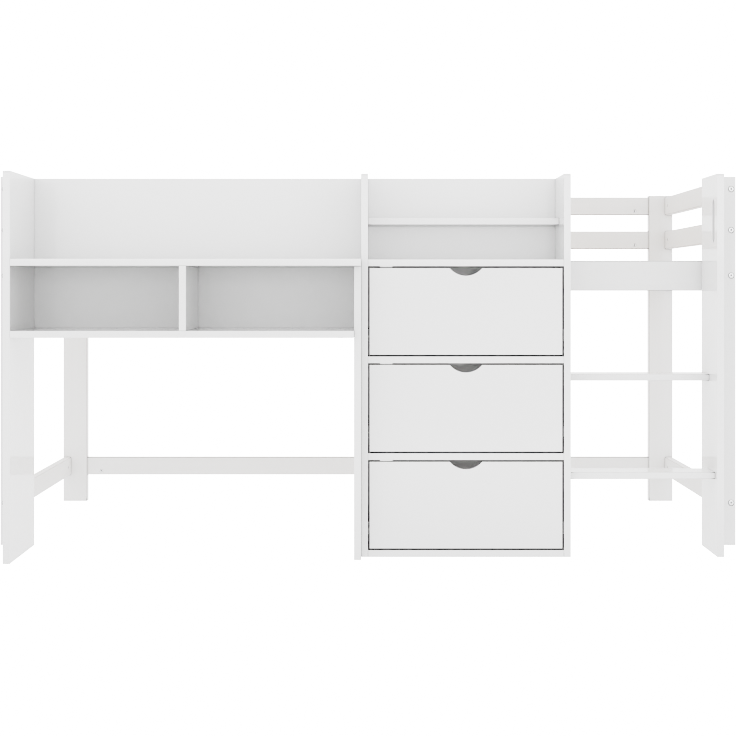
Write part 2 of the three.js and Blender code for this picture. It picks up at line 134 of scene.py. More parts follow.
def make_camera():
    data = bpy.data.cameras.new("photo_camera")
    data.lens = FOCAL_LENGTH
    data.sensor_width = SENSOR
    data.shift_y = HORIZON_SHIFT
    camera = bpy.data.objects.new("photo_camera", data)
    camera.location = (0, POST_FRONT_Y - CAMERA_DISTANCE, CAMERA_HEIGHT)
    camera.rotation_euler = (math.radians(90), 0, 0)
    bpy.context.scene.collection.objects.link(camera)
    bpy.context.scene.camera = camera


# ---- light and floor

# The strengths and powers are tuned to the photo's tones.
SKY_LIGHT = 2.92
FLOOR_GLOW = 2.42
BACKDROP = 16.5                 # what the camera sees beside the object: pure white
SOFTBOX_PLACE = (0, -4.6, 1.1)  # a wide, low strip in front of the object
SOFTBOX_TARGET = (0, -0.3, 0.8)
SOFTBOX_SIZE = (5.0, 0.5)
SOFTBOX_POWER = 44
FILL_POWER = {"top_drawer": 0.017, "middle_drawer": 0.056, "bottom_drawer": 0.056}
FILL_SIZE = (0.42, 0.14)
FILL_RISE = 8 * MM              # above the drawer's bottom
FLOOR_SIZE = 60.0
PIXEL_BLUR = 1.0                # pixels; Blender's own 1.5 fades the thin dark gaps
DIFFUSE_BOUNCES = 6             # Blender's own 4 leaves the drawers' insides too dark


def seen_or_lit(tree, seen, lit):
    """A strength that is higher where the camera looks straight at it than where it lights things."""
    path = tree.nodes.new("ShaderNodeLightPath")
    mix = tree.nodes.new("ShaderNodeMix")
    mix.inputs["A"].default_value = lit
    mix.inputs["B"].default_value = seen
    tree.links.new(path.outputs["Is Camera Ray"], mix.inputs["Factor"])
    return mix.outputs["Result"]


def make_world():
    world = bpy.data.worlds.new("white_studio")
    world.use_nodes = True
    background = world.node_tree.nodes["Background"]
    background.inputs["Color"].default_value = (1, 1, 1, 1)
    strength = seen_or_lit(world.node_tree, BACKDROP, SKY_LIGHT)
    world.node_tree.links.new(strength, background.inputs["Strength"])
    bpy.context.scene.world = world
    bpy.context.scene.view_settings.view_transform = "Filmic"
    bpy.context.scene.cycles.diffuse_bounces = DIFFUSE_BOUNCES
    bpy.context.scene.cycles.filter_width = PIXEL_BLUR


def make_softbox(name, place, target, size, power, mirrored=True):
    """A rectangular lamp that the camera doesn't see. Surfaces reflect it only when mirrored."""
    data = bpy.data.lights.new(name, "AREA")
    data.shape = "RECTANGLE"
    data.size, data.size_y = size
    data.energy = power
    lamp = bpy.data.objects.new(name, data)
    lamp.location = place
    lamp.rotation_euler = (Vector(target) - Vector(place)).to_track_quat("-Z", "Y").to_euler()
    lamp.visible_camera = False
    lamp.visible_glossy = mirrored
    bpy.context.scene.collection.objects.link(lamp)


def make_drawer_fill():
    """A very weak lamp in each closed drawer, for the light left over after the last traced bounce."""
    for drawer in DRAWERS:
        place = Vector((middle(f"{drawer}_bottom", "x"), middle(f"{drawer}_bottom", "y"),
                        limits(f"{drawer}_bottom", "z")[1] + FILL_RISE))
        make_softbox(f"{drawer}_fill", place, place + UP, FILL_SIZE, FILL_POWER[drawer],
                     mirrored=False)


def make_floor(material):
    half = FLOOR_SIZE / 2
    corners = [(-half, -half, 0), (half, -half, 0), (half, half, 0), (-half, half, 0)]
    mesh = bpy.data.meshes.new("studio_floor")
    mesh.from_pydata(corners, [], [(0, 1, 2, 3)])
    mesh.materials.append(material)
    floor = bpy.data.objects.new("studio_floor", mesh)
    bpy.context.scene.collection.objects.link(floor)


# ---- material building blocks

PIECE_SHIFT = 37.0              # how far a pattern moves, at most, from one piece to the next
EDGE_NORMAL = (0.995, 0.93)     # a normal's largest part where an edge begins, and well inside it
OPENNESS_SAMPLES = 8
# Painted shade, from how much of the view around a point is blocked: in seams, narrow gaps, on the lips
# beside gaps and deep in hollows.
SEAM_REACH = 6.0 * MM           # how far around a point the shade in seams looks
GAP_REACH = 3                   # the same for gaps and for hollows, in seam reaches
HOLLOW_REACH = 40
SEAM_OPENNESS = (1.0, 0.2)      # where each shade begins and where it is full; 1 is all open
GAP_OPENNESS = (0.40, 0.12)
LIP_OPENNESS = (0.95, 0.6)
HOLLOW_OPENNESS = (1.0, 0.45)
SEAM_SHADE = 0.55               # how much each takes away of the tone
GAP_SHADE = 0.95
HOLLOW_SHADE = 0.13
PINE_HOLLOW_SHADE = 0.03


class Tree:
    """A material's node tree, with short calls that add a node and wire it."""

    def __init__(self, name):
        self.material = bpy.data.materials.new(name)
        self.material.use_nodes = True
        self.tree = self.material.node_tree
        self.shader = self.tree.nodes["Principled BSDF"]

    def put(self, socket, value):
        if isinstance(value, bpy.types.NodeSocket):
            self.tree.links.new(value, socket)
        else:
            socket.default_value = value

    def add(self, kind, inputs=None, **settings):
        made = self.tree.nodes.new(kind)
        for key, value in settings.items():
            setattr(made, key, value)
        for key, value in (inputs or {}).items():
            self.put(made.inputs[key], value)
        return made

    def place(self, scale=(1, 1, 1), offset_by_object=True):
        """The object's own coordinates, stretched, and moved by an amount of each piece's own."""
        coordinates = self.add("ShaderNodeTexCoord").outputs["Object"]
        if offset_by_object:
            chance = self.add("ShaderNodeObjectInfo").outputs["Random"]
            shift = self.math("MULTIPLY", chance, PIECE_SHIFT)
            moved = self.add("ShaderNodeVectorMath", {0: coordinates, 1: shift}, operation="ADD")
            coordinates = moved.outputs[0]
        return self.add("ShaderNodeMapping", {"Vector": coordinates, "Scale": scale}).outputs[0]

    def noise(self, vector, scale, detail=3.0, roughness=0.5, distortion=0.0):
        inputs = {"Vector": vector, "Scale": scale, "Detail": detail, "Roughness": roughness,
                  "Distortion": distortion}
        return self.add("ShaderNodeTexNoise", inputs).outputs["Fac"]

    def ramp(self, value, low, high, to_low=0.0, to_high=1.0):
        inputs = {"Value": value, "From Min": low, "From Max": high, "To Min": to_low, "To Max": to_high}
        return self.add("ShaderNodeMapRange", inputs).outputs["Result"]

    def math(self, operation, *values):
        return self.add("ShaderNodeMath", dict(enumerate(values)), operation=operation).outputs[0]

    def blend(self, factor, first, second):
        mix = self.add("ShaderNodeMix", data_type="RGBA")
        self.put(mix.inputs[0], factor)
        self.put(mix.inputs[6], first)
        self.put(mix.inputs[7], second)
        return mix.outputs[2]

    def bump(self, height, distance, strength=1.0, normal=None):
        inputs = {"Height": height, "Distance": distance, "Strength": strength}
        if normal is not None:
            inputs["Normal"] = normal
        return self.add("ShaderNodeBump", inputs).outputs["Normal"]

    def rims(self):
        """1 on the middle of a rounded edge, 0 on the flat faces beside it."""
        normal = self.add("ShaderNodeTexCoord").outputs["Normal"]
        upright = self.add("ShaderNodeVectorMath", {0: normal}, operation="ABSOLUTE").outputs[0]
        parts = self.add("ShaderNodeSeparateXYZ", {0: upright}).outputs
        largest = self.math("MAXIMUM", self.math("MAXIMUM", parts[0], parts[1]), parts[2])
        return self.ramp(largest, *EDGE_NORMAL)

    def within(self, low, high):
        """1 between two corners, in the piece's own coordinates."""
        centre, half = (low + high) / 2, (high - low) / 2
        place = self.add("ShaderNodeTexCoord").outputs["Object"]
        offset = self.add("ShaderNodeVectorMath", {0: place, 1: centre}, operation="SUBTRACT").outputs[0]
        away = self.add("ShaderNodeVectorMath", {0: offset}, operation="ABSOLUTE").outputs[0]
        spare = self.add("ShaderNodeVectorMath", {0: half, 1: away}, operation="SUBTRACT").outputs[0]
        parts = self.add("ShaderNodeSeparateXYZ", {0: spare}).outputs
        least = self.math("MINIMUM", self.math("MINIMUM", parts[0], parts[1]), parts[2])
        return self.math("GREATER_THAN", least, 0.0)

    def closeness(self, reach, openness):
        """0 in the open, rising to 1 as more of the view within the reach is blocked."""
        node = self.add("ShaderNodeAmbientOcclusion", {"Distance": reach}, samples=OPENNESS_SAMPLES)
        return self.ramp(node.outputs["AO"], *openness)

    def shadowed(self, tone, reach=SEAM_REACH, seam=SEAM_SHADE, hollow=HOLLOW_SHADE):
        """The tone with painted shade: darker along joints, in narrow gaps, on the rounded edges beside
        them and deep in hollows.
        """
        seams = self.math("MULTIPLY", self.closeness(reach, SEAM_OPENNESS), seam)
        gaps = self.math("MULTIPLY", self.closeness(GAP_REACH * reach, GAP_OPENNESS), GAP_SHADE)
        lips = self.math("MULTIPLY", self.closeness(GAP_REACH * reach, LIP_OPENNESS), self.rims())
        hollows = self.math("MULTIPLY", self.closeness(HOLLOW_REACH * reach, HOLLOW_OPENNESS), hollow)
        wide = self.math("MAXIMUM", seams, hollows)
        narrow = self.math("MAXIMUM", gaps, lips)
        return self.blend(self.math("MAXIMUM", wide, narrow), tone, DEEP_SHADE)

    def finish(self, **sockets):
        for key, value in sockets.items():
            self.put(self.shader.inputs[key.replace("_", " ")], value)
        return self.material


def grey(value, warmth=0.0):
    """A neutral colour, a little towards yellow when warmth is above 0."""
    return (value, value * (1 - warmth / 2), value * (1 - warmth), 1)


# ---- materials

PAINT = 0.76
# The colour of the painted shade where it is full.
DEEP_SHADE = grey(0.035, 0.03)
# Painted shade on the bars' rounded edges, stronger or weaker by the bar's direction.
PAINTED_EDGE_SHADE = {"x": 1.0, "y": 0.35, "z": 0.5}     # how much greyer the bars' edges are, by direction
LONG_GRAIN = 2.2
CROSS_GRAIN = 55.0


def grain_scale(axis):
    scale = [CROSS_GRAIN] * 3
    scale[AXES[axis]] = LONG_GRAIN
    return scale


def painted_pine(axis):
    """Satin white paint over pine: the grain shows as a faint relief along the board."""
    t = Tree(f"white_paint_on_pine_{axis}")
    grain = t.noise(t.place(grain_scale(axis)), 1.0, detail=6.0, roughness=0.6, distortion=0.4)
    peel = t.noise(t.place(), 620.0, detail=2.0)
    clouds = t.noise(t.place(), 5.0, detail=3.0)
    edge = t.rims()
    tone = t.blend(t.ramp(grain, 0.42, 0.62), grey(PAINT * 0.975, 0.008), grey(PAINT, 0.004))
    tone = t.blend(t.ramp(clouds, 0.35, 0.65, 0.0, 0.5), tone, grey(PAINT * 1.02, 0.002))
    # Painted shade on the rounded edges.
    tone = t.blend(t.math("MULTIPLY", edge, PAINTED_EDGE_SHADE[axis]), tone, grey(PAINT * 0.5, 0.015))
    # Painted shade in seams, gaps and hollows.
    tone = t.shadowed(tone, hollow=PINE_HOLLOW_SHADE)
    relief = t.bump(grain, 0.25 * MM, 0.5)
    relief = t.bump(peel, 0.05 * MM, 0.35, relief)
    gloss = t.ramp(t.math("ADD", grain, clouds), 0.7, 1.3, 0.40, 0.52)
    return t.finish(Base_Color=tone, Roughness=gloss, Normal=relief)


def painted_board(name="white_satin_board", zone=None, share=1.0):
    """Smooth satin white face on fibreboard: fine roller texture, a little drift in tone and gloss.
    zone is the lowest and highest corner of a region where the tone is that share of the paint's."""
    t = Tree(name)
    peel = t.noise(t.place(), 900.0, detail=2.0)
    wave = t.noise(t.place(), 60.0, detail=2.0)
    clouds = t.noise(t.place(), 3.0, detail=3.0)
    edge = t.rims()
    tone = t.blend(t.ramp(clouds, 0.35, 0.65), grey(PAINT * 0.985, 0.003), grey(PAINT * 1.01, 0.0))
    tone = t.blend(t.math("MULTIPLY", edge, 0.35), tone, grey(PAINT * 0.8, 0.01))
    # Painted shade in the zone where the share is below 1, painted light where it is above 1.
    if zone:
        tone = t.blend(t.within(*zone), tone, grey(PAINT * share, 0.01))
    # Painted shade in seams, gaps and hollows.
    tone = t.shadowed(tone)
    relief = t.bump(peel, 0.03 * MM, 0.3)
    relief = t.bump(wave, 0.10 * MM, 0.12, relief)
    gloss = t.ramp(t.math("ADD", wave, clouds), 0.7, 1.3, 0.34, 0.44)
    return t.finish(Base_Color=tone, Roughness=gloss, Normal=relief,
                    Coat_Weight=1.0, Coat_Roughness=0.07)


def bare_pine():
    """Planed pine slats: growth rings cut along the board, darker late wood, small knots and pores."""
    t = Tree("bare_pine")
    stretched = t.place((14.0, 0.9, 14.0))
    wobble = {"Vector": stretched, "Scale": 1.6, "Distortion": 7.0, "Detail": 3.0, "Detail Scale": 1.2}
    rings = t.add("ShaderNodeTexWave", wobble, wave_type="BANDS", bands_direction="X").outputs["Fac"]
    fibres = t.noise(t.place((420.0, 9.0, 420.0)), 1.0, detail=4.0, roughness=0.6)
    cells = t.add("ShaderNodeTexVoronoi", {"Vector": t.place((7.0, 2.6, 7.0)), "Scale": 1.0})
    knot = t.ramp(cells.outputs["Distance"], 0.02, 0.16, 1.0, 0.0)
    board = t.add("ShaderNodeObjectInfo").outputs["Random"]
    tone = t.blend(t.ramp(rings, 0.3, 0.9), (0.56, 0.38, 0.20, 1), (0.42, 0.25, 0.11, 1))
    tone = t.blend(t.ramp(fibres, 0.35, 0.7, 0.0, 0.35), tone, (0.66, 0.48, 0.28, 1))
    tone = t.blend(t.math("MULTIPLY", board, 0.35), tone, (0.52, 0.33, 0.17, 1))
    tone = t.blend(knot, tone, (0.22, 0.11, 0.05, 1))
    relief = t.bump(t.math("ADD", rings, fibres), 0.2 * MM, 0.5)
    gloss = t.ramp(fibres, 0.3, 0.7, 0.55, 0.72)
    return t.finish(Base_Color=tone, Roughness=gloss, Normal=relief)


def woven_webbing():
    """Polyester webbing: fine plain weave, thicker ribs across the strap, off-white yarn."""
    t = Tree("woven_webbing")
    flat = t.place(offset_by_object=False)
    warp = t.add("ShaderNodeTexWave", {"Vector": flat, "Scale": 420.0}, bands_direction="Y")
    weft = t.add("ShaderNodeTexWave", {"Vector": flat, "Scale": 260.0}, bands_direction="X")
    yarn = t.math("MAXIMUM", warp.outputs["Fac"], weft.outputs["Fac"])
    fuzz = t.noise(flat, 1500.0, detail=2.0)
    tone = t.blend(t.ramp(yarn, 0.2, 0.9), (0.33, 0.33, 0.32, 1), (0.66, 0.65, 0.62, 1))
    tone = t.blend(t.ramp(fuzz, 0.4, 0.7, 0.0, 0.3), tone, (0.75, 0.74, 0.72, 1))
    relief = t.bump(yarn, 0.3 * MM, 0.8)
    return t.finish(Base_Color=tone, Roughness=t.ramp(fuzz, 0.3, 0.7, 0.8, 0.95), Normal=relief)


def thin_fibreboard():
    """White faced hardboard for the drawer bottoms."""
    t = Tree("white_faced_fibreboard")
    fleck = t.noise(t.place(), 260.0, detail=4.0, roughness=0.7)
    clouds = t.noise(t.place(), 6.0, detail=2.0)
    tone = t.blend(t.ramp(fleck, 0.4, 0.65), grey(PAINT * 1.08, 0.02), grey(PAINT * 1.16, 0.01))
    tone = t.blend(t.ramp(clouds, 0.3, 0.7, 0.0, 0.4), tone, grey(PAINT * 1.12, 0.025))
    relief = t.bump(fleck, 0.06 * MM, 0.4)
    return t.finish(Base_Color=tone, Roughness=t.ramp(fleck, 0.3, 0.7, 0.5, 0.62), Normal=relief)


def coated_steel():
    """White powder coat on thin steel: fine pebble texture, slightly worn edges."""
    t = Tree("white_powder_coat")
    pebble = t.noise(t.place(), 1400.0, detail=2.0)
    streak = t.noise(t.place((60, 4, 60)), 1.0, detail=3.0)
    edge = t.rims()
    tone = t.blend(t.ramp(streak, 0.35, 0.65), grey(0.62, 0.01), grey(0.70, 0.0))
    tone = t.blend(t.math("MULTIPLY", edge, 0.4), tone, grey(0.42, 0.02))
    return t.finish(Base_Color=tone, Roughness=t.ramp(pebble, 0.3, 0.7, 0.32, 0.45),
                    Normal=t.bump(pebble, 0.04 * MM, 0.4))


def bright_zinc():
    """Zinc plate on bolts and screws: faint turning marks and a mottled bluish tone."""
    t = Tree("bright_zinc")
    mottle = t.noise(t.place(), 500.0, detail=3.0)
    lines = t.noise(t.place((90, 900, 900)), 1.0, detail=2.0)
    tone = t.blend(t.ramp(mottle, 0.35, 0.65), (0.84, 0.85, 0.86, 1), (0.94, 0.94, 0.93, 1))
    # Painted shade in the counterbores, sockets and gaps around the heads.
    tone = t.shadowed(tone, 2.0 * MM, 0.6)
    return t.finish(Base_Color=tone, Metallic=1.0, Roughness=t.ramp(mottle, 0.3, 0.7, 0.14, 0.24),
                    Normal=t.bump(lines, 0.02 * MM, 0.3))


def nylon():
    """Natural nylon of the drawer rollers."""
    t = Tree("white_nylon")
    cloud = t.noise(t.place(), 180.0, detail=2.0)
    tone = t.blend(t.ramp(cloud, 0.35, 0.65), (0.66, 0.65, 0.60, 1), (0.74, 0.73, 0.69, 1))
    return t.finish(Base_Color=tone, Roughness=t.ramp(cloud, 0.3, 0.7, 0.35, 0.5),
                    Normal=t.bump(cloud, 0.03 * MM, 0.3))


def studio_white():
    """The pale studio floor: lit from within a little, so that only the closest shadows show."""
    t = Tree("studio_floor_white")
    drift = t.noise(t.place(offset_by_object=False), 0.7, detail=2.0)
    tone = t.blend(t.ramp(drift, 0.3, 0.7), grey(0.045), grey(0.055))
    glow = seen_or_lit(t.tree, BACKDROP, FLOOR_GLOW)
    return t.finish(Base_Color=tone, Roughness=0.9,
                    Emission_Color=(1, 1, 1, 1), Emission_Strength=glow)


def cap_plastic():
    """Moulded white polypropylene caps."""
    t = Tree("white_cap_plastic")
    cloud = t.noise(t.place(), 120.0, detail=2.0)
    tone = t.blend(t.ramp(cloud, 0.35, 0.65), grey(0.74, 0.01), grey(0.80, 0.0))
    return t.finish(Base_Color=tone, Roughness=t.ramp(cloud, 0.3, 0.7, 0.28, 0.4),
                    Normal=t.bump(cloud, 0.02 * MM, 0.3))


# Shares of the paint's tone in the zones, tuned to the photo's tones.
# The hand slot and the cubbies get painted shade, the space the drawers stand in gets painted light.
SLOT_SHARE = 0.62
CUBBY_SHARE = 0.76
CABINET_SHARE = 1.22

PINE = {axis: painted_pine(axis) for axis in AXES}
BOARD = painted_board()
# Painted shade in the hand slot of the ladder's side board.
SLOTTED_BOARD = painted_board("white_board_with_painted_shade_in_slot", HAND_SLOT, SLOT_SHARE)
# Painted shade on the cubbies' inner faces.
CUBBY_BOARD = painted_board("white_board_shaded_in_cubbies", CUBBIES, CUBBY_SHARE)
# Painted light on the faces inside the cabinet and on the drawers, where the drawers stand.
PAINTED_LIGHT_INSIDE_BOARD = painted_board("white_board_with_painted_light_inside", CABINET_INSIDE, CABINET_SHARE)
SPECIAL_BOARDS = {
    "ladder_side_board": SLOTTED_BOARD,
    "desk_left_side": CUBBY_BOARD,
    "desk_cubby_divider": CUBBY_BOARD,
}
HARDBOARD = thin_fibreboard()
STEEL = coated_steel()
ZINC = bright_zinc()
NYLON = nylon()
CAP_PLASTIC = cap_plastic()
SLAT_WOOD = bare_pine()
WEBBING = woven_webbing()


# ---- CAD nodes that stay

WELD_DISTANCE = 0.01 * MM
FLAT_ANGLE = math.radians(0.5)
EDGE_ANGLE = math.radians(50)
SMOOTH_ANGLE = math.radians(40)
PINE_EDGE = 0.7 * MM
BOARD_EDGE = 0.9 * MM
HARDBOARD_EDGE = 0.4 * MM


def smooth_by_angle(widest):
    """Geometry nodes that shade a mesh smooth, except across edges sharper than the angle."""
    tree = bpy.data.node_groups.new("smooth_by_angle", "GeometryNodeTree")
    tree.interface.new_socket("Geometry", in_out="INPUT", socket_type="NodeSocketGeometry")
    tree.interface.new_socket("Geometry", in_out="OUTPUT", socket_type="NodeSocketGeometry")
    start = tree.nodes.new("NodeGroupInput")
    end = tree.nodes.new("NodeGroupOutput")
    angle = tree.nodes.new("GeometryNodeInputMeshEdgeAngle")
    sharp = tree.nodes.new("FunctionNodeCompare")
    sharp.data_type = "FLOAT"
    sharp.operation = "GREATER_THAN"
    sharp.inputs["B"].default_value = widest
    normals = tree.nodes.new("GeometryNodeSetMeshNormal")
    normals.mode = "SHARPNESS"
    normals.inputs["Remove Custom"].default_value = True
    normals.inputs["Face Sharpness"].default_value = False
    tree.links.new(angle.outputs["Unsigned Angle"], sharp.inputs["A"])
    tree.links.new(start.outputs[0], normals.inputs["Mesh"])
    tree.links.new(sharp.outputs[0], normals.inputs["Edge Sharpness"])
    tree.links.new(normals.outputs["Mesh"], end.inputs[0])
    return tree


SMOOTH = smooth_by_angle(SMOOTH_ANGLE)


def shade(piece):
    piece.modifiers.new("smooth", "NODES").node_group = SMOOTH


def round_edges(piece, width, segments):
    bevel = piece.modifiers.new("eased_edges", "BEVEL")
    bevel.width = width
    bevel.segments = segments
    bevel.limit_method = "ANGLE"
    bevel.angle_limit = EDGE_ANGLE


def ease_edges(piece, width, segments=3):
    """Rounds a piece's edges slightly and shades it, leaving its mesh as it is."""
    piece.modifiers.new("weld", "WELD").merge_threshold = WELD_DISTANCE
    flat = piece.modifiers.new("flat_faces", "DECIMATE")
    flat.decimate_type = "DISSOLVE"
    flat.angle_limit = FLAT_ANGLE
    round_edges(piece, width, segments)
    shade(piece)
    piece.modifiers.new("flat_face_normals", "WEIGHTED_NORMAL").keep_sharp = True


def grain_axis(node):
    """The axis a bar is longest along."""
    low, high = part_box(node)
    size = high - low
    return max(AXES, key=lambda axis: size[AXES[axis]])


def finish_cad_nodes():
    looks = {"white_board": (BOARD, BOARD_EDGE), "drawer_base": (HARDBOARD, HARDBOARD_EDGE)}
    for part in frame["record"]["subparts"]:
        piece = frame["nodes"][part["node"]]
        slot = part["material_slot"]
        if slot == "white_pine":
            material, width = PINE[grain_axis(part["node"])], PINE_EDGE
        elif slot in looks:
            material, width = looks[slot]
        else:
            continue
        # Cabinet and drawer boards take the paint with painted light inside the cabinet.
        if slot == "white_board" and part["node"].startswith(("cabinet", *DRAWERS)):
            material = PAINTED_LIGHT_INSIDE_BOARD
        material = SPECIAL_BOARDS.get(part["node"], material)
        piece.data.materials.clear()
        piece.data.materials.append(material)
        ease_edges(piece, width)


# ---- pieces made here

def new_piece(name, body, material, build):
    """A new mesh object that rides on a body. build fills its bmesh, in the row frame."""
    bm = bmesh.new()
    build(bm)
    bmesh.ops.recalc_face_normals(bm, faces=bm.faces)
    mesh = bpy.data.meshes.new(name)
    bm.to_mesh(mesh)
    bm.free()
    mesh.materials.append(material)
    piece = bpy.data.objects.new(name, mesh)
    bpy.context.scene.collection.objects.link(piece)
    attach(piece, body)
    return piece


def axes_at(point, x, y, z):
    """A matrix that turns X, Y and Z into three directions and moves them to a point."""
    axes = Matrix((x, y, z)).transposed().to_4x4()
    axes.translation = Vector(point)
    return axes


def facing(point, outward):
    """A matrix whose Z axis points outward from a point on a surface."""
    up = REAR if outward.z else UP
    return axes_at(point, up.cross(outward), up, outward)


def circle(angle):
    """Radius 1 at any angle."""
    return 1.0


def hexagon(angle):
    """Across-flats radius 1."""
    sixth = math.radians(60)
    return 1 / math.cos((angle % sixth) - sixth / 2)


ARM_HALF_ANGLE = math.radians(16)
ARM_WAIST = 0.42


def cross_recess(angle):
    """A cross recess: four arms with narrow waists between them."""
    quarter = math.radians(90)
    from_arm = abs((angle + quarter / 2) % quarter - quarter / 2)
    return 1.0 if from_arm < ARM_HALF_ANGLE else ARM_WAIST


def turned(bm, rings, place, segments=24):
    """A closed solid of revolution. A ring is (radius, height, section); the ends have radius 0."""
    loops = []
    for radius, height, section in rings:
        if radius == 0:
            loops.append([bm.verts.new(place @ Vector((0, 0, height)))])
            continue
        loop = []
        for k in range(segments):
            angle = math.tau * k / segments
            r = radius * section(angle)
            point = Vector((r * math.cos(angle), r * math.sin(angle), height))
            loop.append(bm.verts.new(place @ point))
        loops.append(loop)
    for inner, outer in zip(loops, loops[1:]):
        for k in range(segments):
            m = (k + 1) % segments
            if len(inner) == 1:
                face = (inner[0], outer[k], outer[m])
            elif len(outer) == 1:
                face = (inner[k], outer[0], inner[m])
            else:
                face = (inner[k], outer[k], outer[m], inner[m])
            bm.faces.new(face)


def prism(bm, outline, low, high, place):
    """A closed straight solid: an outline in X and Y, from low to high along Z."""
    bottom = [bm.verts.new(place @ Vector((x, y, low))) for x, y in outline]
    top = [bm.verts.new(place @ Vector((x, y, high))) for x, y in outline]
    bm.faces.new(bottom[::-1])
    bm.faces.new(top)
    for k in range(len(outline)):
        m = (k + 1) % len(outline)
        bm.faces.new((bottom[k], bottom[m], top[m], top[k]))


def arc(centre, radius, start, stop, steps):
    """Points on an arc, in degrees."""
    points = []
    for k in range(steps + 1):
        angle = math.radians(start + (stop - start) * k / steps)
        points.append((centre[0] + radius * math.cos(angle), centre[1] + radius * math.sin(angle)))
    return points


def rounded_rectangle(x0, x1, y0, y1, radius, steps=4):
    return (arc((x1 - radius, y1 - radius), radius, 0, 90, steps)
            + arc((x0 + radius, y1 - radius), radius, 90, 180, steps)
            + arc((x0 + radius, y0 + radius), radius, 180, 270, steps)
            + arc((x1 - radius, y0 + radius), radius, 270, 360, steps))


# ---- bolts, nuts and screws

BOLT_HEAD_RADIUS = 7.0 * MM
BOLT_HEAD_THICKNESS = 2.6 * MM
BOLT_SHANK_RADIUS = 3.4 * MM
BOLT_SLACK = Vector((0.25, 0.8, 0)) * MM    # how far a head sits off the middle of its counterbore
BOLT_STUB = 2.0 * MM            # how much of the shank there is under the socket
SOCKET_RADIUS = 2.5 * MM
SOCKET_DEPTH = 3.6 * MM
NUT_RADIUS = 4.85 * MM
NUT_LENGTH = 14.0 * MM
NUT_SINK = 0.3 * MM
NUT_SOCKET_RADIUS = 2.2 * MM
NUT_SOCKET_DEPTH = 6.0 * MM
SCREW_RADIUS = 3.6 * MM
SCREW_RISE = 0.35 * MM
CAP_RADIUS = 8.5 * MM


def bolt_head(bm, point, outward):
    """A flat furniture bolt's head with a hexagon socket. The point is under its middle."""
    top = BOLT_HEAD_THICKNESS
    base = top - SOCKET_DEPTH - BOLT_STUB
    rings = [
        (0, top - SOCKET_DEPTH - 0.6 * MM, circle),
        (SOCKET_RADIUS, top - SOCKET_DEPTH, hexagon),
        (SOCKET_RADIUS, top - 0.35 * MM, hexagon),
        (SOCKET_RADIUS + 0.5 * MM, top - 0.02 * MM, circle),
        (BOLT_HEAD_RADIUS * 0.60, top, circle),
        (BOLT_HEAD_RADIUS * 0.82, top - 0.12 * MM, circle),
        (BOLT_HEAD_RADIUS * 0.95, top - 0.45 * MM, circle),
        (BOLT_HEAD_RADIUS, top - 1.0 * MM, circle),
        (BOLT_HEAD_RADIUS, 0.1 * MM, circle),
        (BOLT_HEAD_RADIUS * 0.95, 0, circle),
        (BOLT_SHANK_RADIUS, 0, circle),
        (BOLT_SHANK_RADIUS, base, circle),
        (0, base, circle),
    ]
    turned(bm, rings, facing(point, outward) @ Matrix.Translation(BOLT_SLACK), segments=36)


def barrel_nut(bm, point, outward):
    """A cross dowel with a hexagon socket, in its hole. The point is the middle of the hole's mouth."""
    face = -NUT_SINK
    rings = [
        (0, face - NUT_SOCKET_DEPTH - 0.6 * MM, circle),
        (NUT_SOCKET_RADIUS, face - NUT_SOCKET_DEPTH, hexagon),
        (NUT_SOCKET_RADIUS, face - 0.4 * MM, hexagon),
        (NUT_SOCKET_RADIUS + 0.5 * MM, face, circle),
        (NUT_RADIUS - 0.4 * MM, face, circle),
        (NUT_RADIUS, face - 0.4 * MM, circle),
        (NUT_RADIUS, face - NUT_LENGTH + 0.6 * MM, circle),
        (NUT_RADIUS - 0.6 * MM, face - NUT_LENGTH, circle),
        (0, face - NUT_LENGTH, circle),
    ]
    turned(bm, rings, facing(point, outward), segments=24)


def screw_head(bm, point, outward):
    """A countersunk wood screw's head with a cross recess, seated in the face."""
    radius = SCREW_RADIUS
    rings = [
        (0, -1.1 * MM, circle),
        (radius * 0.20, -0.9 * MM, cross_recess),
        (radius * 0.52, SCREW_RISE - 0.1 * MM, cross_recess),
        (radius * 0.62, SCREW_RISE, circle),
        (radius * 0.92, SCREW_RISE * 0.8, circle),
        (radius, SCREW_RISE * 0.3, circle),
        (radius, 0, circle),
        (radius * 0.5, -1.8 * MM, circle),
        (0, -1.8 * MM, circle),
    ]
    turned(bm, rings, facing(point, outward), segments=32)


def cover_cap(bm, point, outward):
    """A thin moulded cap over a cam fitting."""
    radius = CAP_RADIUS
    rings = [
        (0, 0.95 * MM, circle),
        (radius * 0.55, 0.92 * MM, circle),
        (radius * 0.80, 0.80 * MM, circle),
        (radius * 0.94, 0.50 * MM, circle),
        (radius, 0.10 * MM, circle),
        (radius, 0, circle),
        (0, 0, circle),
    ]
    turned(bm, rings, facing(point, outward), segments=32)


def fasteners(name, maker, places, body=FIXED, material=ZINC):
    """One piece that holds all fasteners of a kind on one part. places are (point, outward)."""
    def build(bm):
        for point, outward in places:
            maker(bm, point, outward)

    piece = new_piece(name, body, material, build)
    shade(piece)
    return piece


FRONT_BOLT_SEAT = 1.5 * MM      # how deep the counterbores are
OTHER_BOLT_SEAT = 3.0 * MM
BOLT_FROM_CORNER = 12.5 * MM
NUT_FROM_POST = 46.0 * MM
RAIL_BOLT_SPREAD = 28.0 * MM    # half the distance between the two bolts of a side rail
LIGHT_RAIL_BOLT_DROP = 16.0 * MM


def light_rail_bolt_level(node):
    return middle(node, "z") - LIGHT_RAIL_BOLT_DROP


def long_rail_bolt_levels(row):
    rail = middle(f"{row}_side_rail", "z")
    levels = [rail - RAIL_BOLT_SPREAD, rail + RAIL_BOLT_SPREAD]
    if row == "rear":
        levels += [light_rail_bolt_level(node) for node in LIGHT_LONG_RAILS]
    return levels


